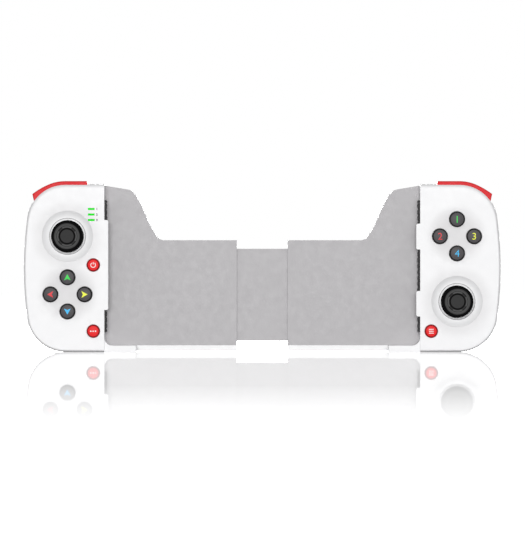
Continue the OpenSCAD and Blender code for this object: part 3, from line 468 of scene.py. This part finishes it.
def board_material(name, colour):
    """Solder mask with paler traces under it."""
    material, tree, shader = new_material(name)
    coordinates = tree.nodes.new("ShaderNodeTexCoord")
    turn = tree.nodes.new("ShaderNodeMapping")
    turn.inputs["Rotation"].default_value = (math.radians(90), 0, 0)
    tree.links.new(coordinates.outputs["Object"], turn.inputs["Vector"])
    traces = tree.nodes.new("ShaderNodeTexBrick")
    traces.inputs["Color1"].default_value = colour
    for socket, tint in zip(("Color2", "Mortar"), TRACE_TINTS):
        traces.inputs[socket].default_value = tinted(colour, tint)
    traces.inputs["Scale"].default_value = 1 / TRACE_PITCH
    tree.links.new(turn.outputs["Vector"], traces.inputs["Vector"])
    tree.links.new(traces.outputs["Color"], shader.inputs["Base Color"])
    shader.inputs["Roughness"].default_value = BOARD_ROUGHNESS
    return material


def glowing(name, colour, strength):
    """A lit plastic bar under a clear skin."""
    material = moulded(name, colour, roughness=0.35, specular=0.05)
    shader = material.node_tree.nodes["Principled BSDF"]
    shader.inputs["Emission Color"].default_value = colour
    shader.inputs["Emission Strength"].default_value = strength
    return material


def printed(ink):
    return moulded(
        "ink_" + ink,
        INKS[ink],
        roughness=0.45,
        grain=0.15 * MM,
        relief=0.003 * MM,
        variation=0.04,
        specular=0.1,
    )


def make_materials():
    """The finish of each material slot."""
    return {
        # white_shell: painted shade round the buttons and dishes, and painted shade in its grooves and seams that
        # also stands for dirt
        "white_shell": shell_plastic("white_shell", srgb(243, 243, 244), crease_shade_and_dirt=srgb(136, 136, 138)),
        "grey_plate": moulded(
            "grey_plate",
            srgb(182, 180, 182),
            roughness=0.5,
            grain=0.35 * MM,
            relief=0.012 * MM,
            variation=0.008,
            specular=0.3,
        ),
        "spring_steel": metal("spring_steel", srgb(205, 206, 208), roughness=0.28),
        "pad_rubber": moulded(
            "pad_rubber",
            srgb(52, 51, 52),
            roughness=0.75,
            grain=0.4 * MM,
            relief=0.02 * MM,
            variation=0.06,
            specular=0.3,
        ),
        "board_green": board_material("board_green", srgb(26, 104, 58)),
        "silicone": moulded("silicone", srgb(190, 190, 194), roughness=0.55),
        "steel": metal("steel", srgb(200, 201, 204), roughness=0.3),
        "inner_dark": moulded("inner_dark", srgb(38, 38, 39), roughness=0.6, specular=0.15),
        "inner_grey": moulded("inner_grey", srgb(160, 160, 162), roughness=0.5),
        "stick_black": stick_rubber("stick_black"),
        "red_plastic": moulded(
            "red_plastic", srgb(216, 30, 37), roughness=0.35, variation=0.04, specular=0.08
        ),
        "dark_button": moulded(
            "dark_button",
            srgb(78, 76, 78),
            roughness=0.4,
            variation=0.05,
            specular=0.12,
            # rim: painted shade on the button's sides
            rim=srgb(24, 24, 25),
        ),
        "red_key": moulded(
            "red_key",
            srgb(238, 46, 48),
            roughness=0.4,
            variation=0.03,
            specular=0.12,
            # rim: painted shade on the key's sides
            rim=srgb(150, 16, 20),
        ),
        "flex_amber": moulded("flex_amber", srgb(180, 122, 46), roughness=0.3),
        "battery_wrap": moulded("battery_wrap", srgb(150, 154, 160), roughness=0.4),
        "light_green": glowing("light_green", srgb(6, 200, 12), strength=0.4),
    }


# CAD nodes take the finish of their slot


def mark_creases(mesh):
    """Marks each edge where two faces meet at more than the smooth angle.

    The faces of a CAD node don't share corners yet, so edges are matched by the places of their ends.
    """
    corners = [tuple(round(value / WELD_DISTANCE) for value in vertex.co) for vertex in mesh.vertices]
    meeting = {}
    for face in mesh.polygons:
        for first, second in face.edge_keys:
            ends = frozenset((corners[first], corners[second]))
            meeting.setdefault(ends, []).append(face.normal.copy())
    limit = math.cos(SMOOTH_ANGLE)
    for edge in mesh.edges:
        normals = meeting[frozenset(corners[corner] for corner in edge.vertices)]
        edge.use_edge_sharp = len(normals) != 2 or normals[0].dot(normals[1]) < limit


def dress_nodes(finishes):
    for part in frame["record"]["subparts"]:
        node = nodes[part["node"]]
        node.data.materials.clear()
        node.data.materials.append(finishes[part["material_slot"]])
        for face in node.data.polygons:
            face.use_smooth = True
        mark_creases(node.data)
        weld = node.modifiers.new("shared corners", "WELD")
        weld.merge_threshold = WELD_DISTANCE
        normals = node.modifiers.new("flat faces", "WEIGHTED_NORMAL")
        normals.keep_sharp = True


# Outlines and new pieces


def arc(centre, radius, start, stop, steps):
    """Points on an arc, in degrees, both ends included."""
    angles = [math.radians(start + (stop - start) * i / steps) for i in range(steps + 1)]
    return [(centre[0] + radius * math.cos(a), centre[1] + radius * math.sin(a)) for a in angles]


def join_rings(made, first, second):
    """Faces from one ring of corners to the next."""
    for i in range(len(first)):
        j = (i + 1) % len(first)
        made.faces.new([first[i], first[j], second[j], second[i]])


def add_piece(made, name, material, body):
    """An object from a finished mesh, which moves with a body."""
    bmesh.ops.recalc_face_normals(made, faces=made.faces[:])
    mesh = bpy.data.meshes.new(name)
    made.to_mesh(mesh)
    made.free()
    mesh.materials.append(material)
    piece = bpy.data.objects.new(name, mesh)
    bpy.context.scene.collection.objects.link(piece)
    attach(piece, body)
    return piece


def smooth(piece):
    for face in piece.data.polygons:
        face.use_smooth = True
    piece.data.set_sharp_from_angle(angle=SMOOTH_ANGLE)


# Jaw pads


def pad_ring(low, high, inset, side, sink):
    """A section across a pad: flat on the jaw, with rounded edges towards the phone."""
    back = high.x if side > 0 else low.x
    front = (low.x if side > 0 else high.x) + side * sink
    near, far = low.y + inset, high.y - inset
    turns = [math.radians(90 * i / PAD_SIDES) for i in range(PAD_SIDES + 1)]
    rounding = [(front + side * PAD_EDGE * (1 - math.sin(a)), PAD_EDGE * (1 - math.cos(a))) for a in turns]
    ring = [(back, near), (back, far)]
    ring += [(x, far - inwards) for x, inwards in rounding]
    ring += [(x, near + inwards) for x, inwards in reversed(rounding)]
    return ring


def make_jaw_pad(name, side, body, material):
    """A ribbed rubber strip in place of the plain pad, with pulled-in ends."""
    low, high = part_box(name)
    length = high.z - low.z
    rows = round(length / PAD_PITCH) * PAD_ROWS
    made = bmesh.new()
    rings = []
    for k in range(rows + 1):
        z = low.z + length * k / rows
        near_end = max(0.0, 1 - min(z - low.z, high.z - z) / PAD_EDGE)
        rounded = PAD_EDGE * (1 - math.sqrt(1 - near_end * near_end))
        groove = 0.5 - 0.5 * math.cos(2 * math.pi * (z - low.z) / PAD_PITCH)
        sink = min(high.x - low.x - 2 * PAD_EDGE, rounded + PAD_RIB * groove ** PAD_SHARPNESS)
        section = pad_ring(low, high, rounded, side, sink)
        rings.append([made.verts.new((x, y, z)) for x, y in section])
    for first, second in zip(rings, rings[1:]):
        join_rings(made, first, second)
    made.faces.new(rings[0])
    made.faces.new(rings[-1])
    piece = add_piece(made, name + "_rubber", material, body)
    smooth(piece)
    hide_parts(name)


# Dust rings of the sticks


def make_dust_ring(stick, material):
    """A thin dark bowl round a stick's gimbal, seen where the tilted dome slides clear of its opening."""
    pivot = next(joint["pos_m"] for joint in frame["joints"] if joint["name"] == stick + "_pitch")
    start, stop = DUST_ANGLES
    inner, outer = DUST_RADII
    section = arc((0, 0), outer, start, stop, DUST_STEPS) + arc((0, 0), inner, stop, start, DUST_STEPS)
    made = bmesh.new()
    rings = []
    for k in range(DUST_SIDES):
        a = 2 * math.pi * k / DUST_SIDES
        places = [(across * math.cos(a), -ahead, across * math.sin(a)) for ahead, across in section]
        rings.append([made.verts.new(Vector(pivot) + Vector(place)) for place in places])
    for first, second in zip(rings, rings[1:] + rings[:1]):
        join_rings(made, first, second)
    piece = add_piece(made, stick + "_dust_ring", material, stick + "_carrier")
    smooth(piece)


# Printed marks


def band(centre, inner, outer, start, stop, steps):
    """Four-cornered outlines that follow each other along an arc."""
    inside = arc(centre, inner, start, stop, steps)
    outside = arc(centre, outer, start, stop, steps)
    return [[inside[i], outside[i], outside[i + 1], inside[i + 1]] for i in range(steps)]


def bar(centre, width, height):
    x, z = centre
    return [
        (x - width / 2, z - height / 2),
        (x + width / 2, z - height / 2),
        (x + width / 2, z + height / 2),
        (x - width / 2, z + height / 2),
    ]


def turned(outline, degrees):
    a = math.radians(degrees)
    return [(x * math.cos(a) - z * math.sin(a), x * math.sin(a) + z * math.cos(a)) for x, z in outline]


def fill(outlines):
    """A flat mesh in X and Z from closed outlines."""
    made = bmesh.new()
    for outline in outlines:
        made.faces.new([made.verts.new((x, 0, z)) for x, z in outline])
    bmesh.ops.remove_doubles(made, verts=made.verts[:], dist=MARK_WELD)
    return made


def digit(text, height, weight=0.0):
    """A flat mesh in X and Z of a plain number, with its strokes made bolder by a weight."""
    curve = bpy.data.curves.new("digit", "FONT")
    curve.body = text
    curve.size = 1.0
    curve.resolution_u = CURVE_STEPS
    curve.offset = weight
    holder = bpy.data.objects.new("digit", curve)
    bpy.context.scene.collection.objects.link(holder)
    bpy.context.view_layer.update()
    shown = holder.evaluated_get(bpy.context.evaluated_depsgraph_get())
    mesh = bpy.data.meshes.new_from_object(shown)
    made = bmesh.new()
    made.from_mesh(mesh)
    bpy.data.objects.remove(holder)
    bpy.data.curves.remove(curve)
    bpy.data.meshes.remove(mesh)
    low = Vector([min(vertex.co[i] for vertex in made.verts) for i in range(3)])
    high = Vector([max(vertex.co[i] for vertex in made.verts) for i in range(3)])
    middle = (low + high) / 2
    factor = height / (high.y - low.y)
    for vertex in made.verts:
        place = (vertex.co - middle) * factor
        vertex.co = (place.x, 0, place.y)
    bmesh.ops.remove_doubles(made, verts=made.verts[:], dist=MARK_WELD)
    return made


def lay_on(made, name, place, body, material, bend=0.0):
    """Divides a flat mark finely, lays it on a flat or crowned top and gives it its thickness."""
    bmesh.ops.triangulate(made, faces=made.faces[:])
    for _ in range(INK_ROUNDS):
        long_edges = [edge for edge in made.edges if edge.calc_length() > INK_STEP]
        if not long_edges:
            break
        bmesh.ops.subdivide_edges(made, edges=long_edges, cuts=1)
        bmesh.ops.triangulate(made, faces=made.faces[:])
    for vertex in made.verts:
        x, z = vertex.co.x, vertex.co.z
        fall = bend * (x * x + z * z)
        vertex.co = (place[0] + x, place[1] + fall - INK_RAISE, place[2] + z)
    grown = bmesh.ops.extrude_face_region(made, geom=made.faces[:], use_keep_orig=True)
    for item in grown["geom"]:
        if isinstance(item, bmesh.types.BMVert):
            item.co.y += INK_DEEP
    add_piece(made, name, material, body)


def front_of(node):
    """Middle of a node's front, where its crown is highest."""
    low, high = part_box(node)
    return ((low.x + high.x) / 2, low.y, (low.z + high.z) / 2)


def arrowhead(degrees):
    """A notched arrowhead that points along +X before it is turned."""
    outline = [
        (ARROW_TIP, 0),
        (-ARROW_BASE, ARROW_HALF),
        (-ARROW_BASE + ARROW_NOTCH, 0),
        (-ARROW_BASE, -ARROW_HALF),
    ]
    return fill([turned(outline, degrees)])


def print_buttons():
    inks = {ink: printed(ink) for ink in ("green", "red", "yellow", "blue")}
    for button, degrees, ink in ARROWS:
        mark = arrowhead(degrees)
        lay_on(mark, button + "_arrow", front_of(button), button, inks[ink], BUTTON_BEND)
    for button, text, ink in NUMBERS:
        mark = digit(text, NUMBER_HEIGHT)
        lay_on(mark, button + "_number", front_of(button), button, inks[ink], BUTTON_BEND)


def power_mark():
    """A ring that is open at the top, with a bar in the opening."""
    ring = band((0, 0), KEY_MARK - KEY_LINE / 2, KEY_MARK + KEY_LINE / 2, *POWER_ANGLES, POWER_STEPS)
    return fill(ring + [bar((0, POWER_BAR_UP), KEY_LINE, KEY_MARK)])


def menu_mark():
    """Three bars."""
    return fill([bar((0, k * MENU_PITCH), 2 * KEY_MARK, KEY_LINE) for k in (-1, 0, 1)])


def dots_mark():
    """Three dots."""
    last = 360 - 360 / DOT_SIDES
    return fill([arc((k * KEY_MARK, 0), KEY_LINE, 0, last, DOT_SIDES - 1) for k in (-1, 0, 1)])


def print_keys():
    white = printed("white")
    marks = {"power_button": power_mark(), "select_button": dots_mark(), "start_button": menu_mark()}
    for key, mark in marks.items():
        lay_on(mark, key + "_mark", front_of(key), key, white, KEY_BEND)


def print_light_numbers():
    grey = printed("grey")
    low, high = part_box("light_pipes")
    x = (low.x + high.x) / 2 + LIGHT_DIGIT_IN
    top = (low.z + high.z) / 2 + (LIGHT_COUNT - 1) / 2 * LIGHT_PITCH
    for k in range(LIGHT_COUNT):
        place = (x, low.y, top - k * LIGHT_PITCH)
        mark = digit(str(k + 1), LIGHT_DIGIT, LIGHT_DIGIT_WEIGHT)
        lay_on(mark, f"light_number_{k + 1}", place, "left_half", grey)


# Studio


def floor_material():
    """A pale dull surface, with a mirror image over it that fades away from the part."""
    material, tree, shader = new_material("studio_floor")
    shader.inputs["Base Color"].default_value = FLOOR_COLOUR
    shader.inputs["Roughness"].default_value = FLOOR_ROUGHNESS
    shader.inputs["Specular IOR Level"].default_value = 0.0
    lift = tree.nodes.new("ShaderNodeEmission")
    tree.links.new(seen_directly(tree, 0.0, FLOOR_LIFT), lift.inputs["Strength"])
    pale = tree.nodes.new("ShaderNodeAddShader")
    tree.links.new(shader.outputs["BSDF"], pale.inputs[0])
    tree.links.new(lift.outputs["Emission"], pale.inputs[1])
    mirror = tree.nodes.new("ShaderNodeBsdfGlossy")
    mirror.inputs["Color"].default_value = WHITE
    mirror.inputs["Roughness"].default_value = MIRROR_ROUGHNESS
    position = tree.nodes.new("ShaderNodeNewGeometry").outputs["Position"]
    reach = vector_math(tree, "LENGTH", position)["Value"]
    near = map_range(tree, reach, FLOOR_NEAR, FLOOR_FAR, 1.0, 0.0)
    share = combined(tree, "MULTIPLY", near, seen_directly(tree, 0.0, FLOOR_MIRROR))
    whole = tree.nodes.new("ShaderNodeMixShader")
    tree.links.new(share, whole.inputs["Fac"])
    tree.links.new(pale.outputs["Shader"], whole.inputs[1])
    tree.links.new(mirror.outputs["BSDF"], whole.inputs[2])
    tree.links.new(whole.outputs["Shader"], tree.nodes["Material Output"].inputs["Surface"])
    return material


def make_floor():
    """A floor that keeps the part's shadow."""
    mesh = bpy.data.meshes.new("studio_floor")
    made = bmesh.new()
    bmesh.ops.create_grid(made, x_segments=1, y_segments=1, size=FLOOR_HALF)
    made.to_mesh(mesh)
    made.free()
    mesh.materials.append(floor_material())
    floor = bpy.data.objects.new("studio_floor", mesh)
    bpy.context.scene.collection.objects.link(floor)
    floor.location.z = cad_box[0].z - FLOOR_GAP


def make_world():
    """A room that looks white and gives a softer light."""
    world = bpy.data.worlds.new("studio")
    bpy.context.scene.world = world
    world.use_nodes = True
    tree = world.node_tree
    background = tree.nodes["Background"]
    background.inputs["Color"].default_value = WHITE
    tree.links.new(seen_directly(tree, ROOM_LIGHT, 1.0), background.inputs["Strength"])


def make_lamps():
    for name, place, size, power in LAMPS:
        data = bpy.data.lights.new(name, "AREA")
        data.shape = "RECTANGLE"
        data.size, data.size_y = size
        data.energy = power
        lamp = bpy.data.objects.new(name, data)
        lamp.location = place
        lamp.rotation_euler = (Vector(LAMP_TARGET) - Vector(place)).to_track_quat("-Z", "Y").to_euler()
        bpy.context.scene.collection.objects.link(lamp)


def make_camera():
    """A camera square to the front faces, at the photograph's scale there."""
    data = bpy.data.cameras.new("camera")
    data.type = "PERSP"
    data.sensor_width = SENSOR
    data.lens = SENSOR * VIEW_DISTANCE / (max(PICTURE) * PIXEL)
    data.clip_end = VIEW_REACH
    camera = bpy.data.objects.new("camera", data)
    camera.location = (VIEW_CENTRE[0], FACE_Y - VIEW_DISTANCE, VIEW_CENTRE[1])
    camera.rotation_euler = (math.radians(90), 0, 0)
    bpy.context.scene.collection.objects.link(camera)
    bpy.context.scene.camera = camera


make_camera()
finishes = make_materials()
dress_nodes(finishes)
make_jaw_pad("left_jaw_pad", -1, "left_half", finishes["pad_rubber"])
make_jaw_pad("right_jaw_pad", 1, "right_half", finishes["pad_rubber"])
make_dust_ring("left_stick", finishes["inner_dark"])
make_dust_ring("right_stick", finishes["inner_dark"])
print_buttons()
print_keys()
print_light_numbers()
make_floor()
make_world()
make_lamps()
bpy.context.scene.view_settings.view_transform = "Standard"
